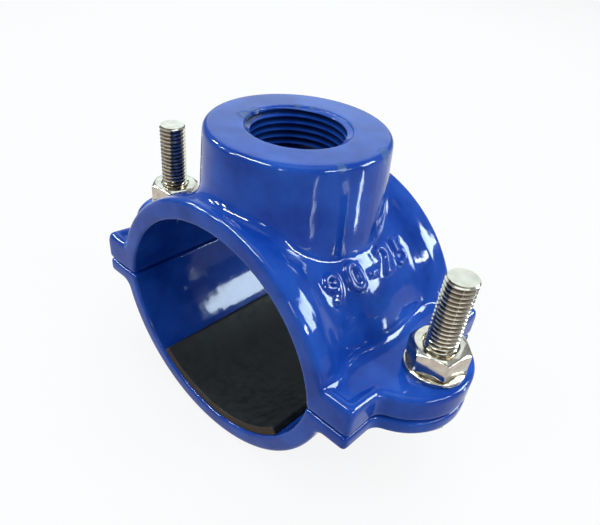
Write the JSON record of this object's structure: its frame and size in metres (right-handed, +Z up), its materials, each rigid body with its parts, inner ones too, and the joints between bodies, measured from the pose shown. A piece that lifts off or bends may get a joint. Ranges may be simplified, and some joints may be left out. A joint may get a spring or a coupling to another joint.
{
  "type": "tapping saddle",
  "caption": "Two-piece clamp-on saddle for a water pipe: a cast upper half with a threaded outlet boss on its crown, a rubber-lined lower strap, and bolts that draw them together.",
  "frame": {"origin": "on the axis of the upper casting's pipe seat, half-way along it", "axes": "+Z up through the outlet, +Y along the pipe, +X across to the right bolt"},
  "size_m": [0.154, 0.072, 0.1103],
  "materials": {
    "blue_epoxy": "glossy fused epoxy coat over cast ductile iron",
    "black_rubber": "matt black EPDM rubber",
    "stainless_steel": "bright rolled stainless steel"
  },
  "bodies": {
    "saddle": {"saddle_body": "blue_epoxy", "outlet_seal": "black_rubber", "washer_left": "stainless_steel", "washer_right": "stainless_steel"},
    "strap": {"strap": "blue_epoxy", "strap_liner": "black_rubber", "bolt_left": "stainless_steel", "bolt_right": "stainless_steel"},
    "nut_left": {"nut_left": "stainless_steel"},
    "nut_right": {"nut_right": "stainless_steel"}
  },
  "joints": [
    {"name": "strap_slide", "type": "slide", "parent": "saddle", "child": "strap", "axis": [0, 0, -1], "range_m": [0, 0.024]},
    {"name": "nut_left_turn", "type": "hinge", "parent": "saddle", "child": "nut_left", "pos_m": [-0.065, 0, 0.01675], "axis": [0, 0, 1], "range_deg": [0, 5761]},
    {"name": "nut_right_turn", "type": "hinge", "parent": "saddle", "child": "nut_right", "pos_m": [0.065, 0, 0.01675], "axis": [0, 0, 1], "range_deg": [0, 5761]}
  ],
  "couplings": [
    {"joint": "nut_left_turn", "follows": "strap_slide", "rad_per_m": 4188.8},
    {"joint": "nut_right_turn", "follows": "strap_slide", "rad_per_m": 4188.8}
  ]
}
